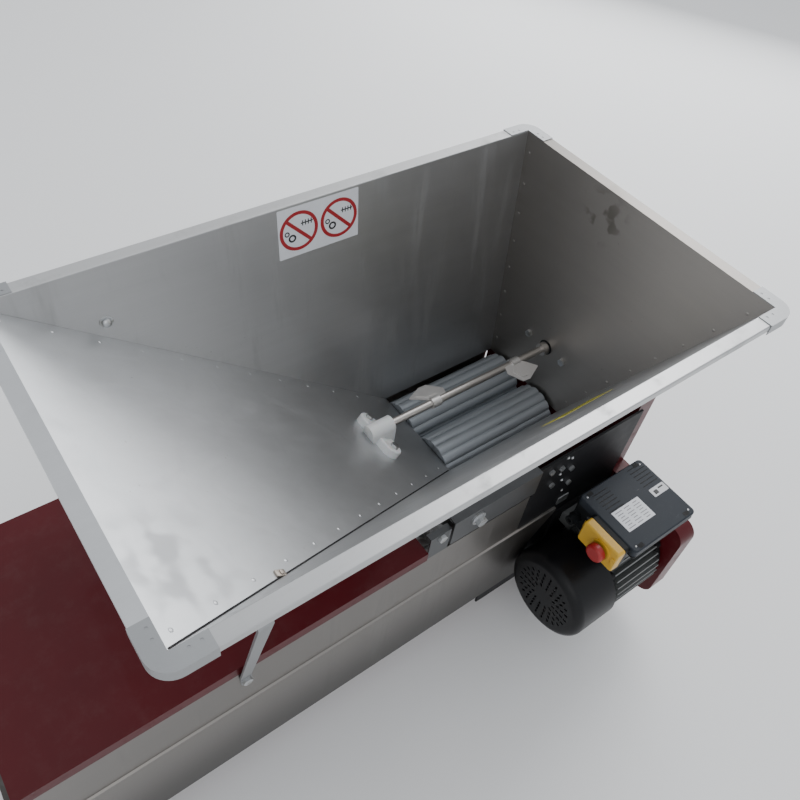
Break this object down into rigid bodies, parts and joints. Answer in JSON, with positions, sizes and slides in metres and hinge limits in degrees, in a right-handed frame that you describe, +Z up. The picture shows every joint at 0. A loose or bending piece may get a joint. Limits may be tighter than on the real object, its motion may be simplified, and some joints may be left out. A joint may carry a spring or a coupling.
{
  "type": "grape crusher destemmer",
  "caption": "Hopper-fed grape crusher destemmer with fluted rollers, feeder paddles, beater over a slotted trough, belt and gear drive, side motor and guarded stop switch.",
  "frame": {"origin": "on the floor under the middle of the overall box", "axes": "+X towards the drive end, +Y away from the motor side, +Z up"},
  "size_m": [1.171, 0.6002, 0.8012],
  "materials": {
    "stainless_sheet": "brushed stainless sheet with a soft satin grain",
    "stainless_trim": "satin stainless trim and strips",
    "burgundy_paint": "dark wine red gloss paint",
    "motor_black": "satin black paint",
    "motor_grey": "dark grey paint over cast fins",
    "fluted_aluminium": "extruded aluminium, bead blasted",
    "machined_steel": "turned steel",
    "cast_gear": "dark oiled cast iron",
    "white_nylon": "white moulded nylon",
    "zinc_fastener": "bright zinc",
    "black_rubber": "black rubber",
    "box_black": "black moulded plastic",
    "lid_slate": "slate grey moulded plastic",
    "switch_yellow": "yellow moulded plastic",
    "stop_red": "red moulded plastic",
    "start_green": "green moulded plastic",
    "laminated_steel": "laminated steel",
    "capacitor_shell": "white plastic can"
  },
  "bodies": {
    "root": {"hopper_back_panel": "stainless_sheet", "hopper_front_panel": "stainless_sheet", "hopper_end_panel": "stainless_sheet", "hopper_slope_panel": "stainless_sheet", "rim_corner_caps": "stainless_trim", "hopper_struts": "stainless_trim", "feeder_slope_bearing": "white_nylon", "feeder_end_bearing": "white_nylon", "roller_bushes": "white_nylon", "crusher_plate": "burgundy_paint", "drive_belt": "black_rubber", "feeder_belt": "black_rubber", "top_cover": "burgundy_paint", "front_skirt": "stainless_sheet", "back_skirt": "stainless_sheet", "stem_end_plate": "burgundy_paint", "stem_chute": "stainless_sheet", "drive_plate": "burgundy_paint", "belt_guard": "burgundy_paint", "drive_side_plate": "motor_black", "crusher_rails": "stainless_trim", "base_rails": "burgundy_paint", "rubber_feet": "black_rubber", "destemming_grid": "stainless_sheet", "beater_bearings": "cast_gear", "motor_frame": "motor_grey", "motor_end_shields": "motor_black", "motor_stator": "laminated_steel", "fan_cowl": "motor_black", "motor_plate": "motor_black", "control_box_base": "box_black", "control_box_lid": "lid_slate", "run_capacitor": "capacitor_shell", "switch_housing": "box_black", "cable_gland": "box_black", "bolts_and_screws": "zinc_fastener"},
    "beater": {"beater_shaft": "machined_steel", "beater_paddles": "stainless_trim", "beater_pinion": "cast_gear", "beater_pulley": "cast_gear"},
    "back_roller": {"roller_back": "fluted_aluminium", "roller_back_shaft": "machined_steel", "roller_back_gear": "cast_gear"},
    "front_roller": {"roller_front": "fluted_aluminium", "roller_front_shaft": "machined_steel", "roller_front_gear": "cast_gear", "reduction_gear": "cast_gear", "roller_pulley": "cast_gear"},
    "feeder": {"feeder_shaft": "machined_steel", "feeder_paddles": "machined_steel", "feeder_collar": "machined_steel", "feeder_pulley": "cast_gear"},
    "rotor": {"motor_shaft": "machined_steel", "motor_rotor": "laminated_steel", "motor_fan": "box_black", "motor_pulley": "cast_gear"},
    "flap": {"switch_flap": "switch_yellow"},
    "mushroom": {"stop_mushroom": "stop_red"},
    "start": {"start_button": "start_green"},
    "off": {"off_button": "stop_red"}
  },
  "joints": [
    {"name": "beater_spin", "type": "hinge", "parent": "root", "child": "beater", "pos_m": [0.5365, 0.0639, 0.14444], "axis": [1, 0, 0], "continuous": true},
    {"name": "motor_spin", "type": "hinge", "parent": "root", "child": "rotor", "pos_m": [0.5365, -0.2131, 0.196], "axis": [1, 0, 0], "continuous": true},
    {"name": "back_roller_spin", "type": "hinge", "parent": "root", "child": "back_roller", "pos_m": [0.5365, 0.1849, 0.2931], "axis": [1, 0, 0], "continuous": true},
    {"name": "front_roller_spin", "type": "hinge", "parent": "root", "child": "front_roller", "pos_m": [0.5365, 0.0839, 0.2931], "axis": [1, 0, 0], "continuous": true},
    {"name": "feeder_spin", "type": "hinge", "parent": "root", "child": "feeder", "pos_m": [0.5365, 0.1069, 0.441], "axis": [1, 0, 0], "continuous": true},
    {"name": "flap_hinge", "type": "hinge", "parent": "root", "child": "flap", "pos_m": [0.3815, -0.1916, 0.352], "axis": [0, 0, -1], "range_deg": [0, 90]},
    {"name": "stop_push", "type": "slide", "parent": "flap", "child": "mushroom", "axis": [1, 0, 0], "range_m": [0, 0.004], "stiffness_N_per_m": 400},
    {"name": "start_push", "type": "slide", "parent": "root", "child": "start", "axis": [1, 0, 0], "range_m": [0, 0.003], "stiffness_N_per_m": 300},
    {"name": "off_push", "type": "slide", "parent": "root", "child": "off", "axis": [1, 0, 0], "range_m": [0, 0.004], "stiffness_N_per_m": 300}
  ],
  "couplings": [
    {"joint": "motor_spin", "follows": "beater_spin", "ratio": 3.2},
    {"joint": "back_roller_spin", "follows": "beater_spin", "ratio": 0.31579},
    {"joint": "front_roller_spin", "follows": "beater_spin", "ratio": -0.31579},
    {"joint": "feeder_spin", "follows": "beater_spin", "ratio": -0.19737},
    {"joint": "off_push", "follows": "stop_push", "ratio": 1}
  ]
}
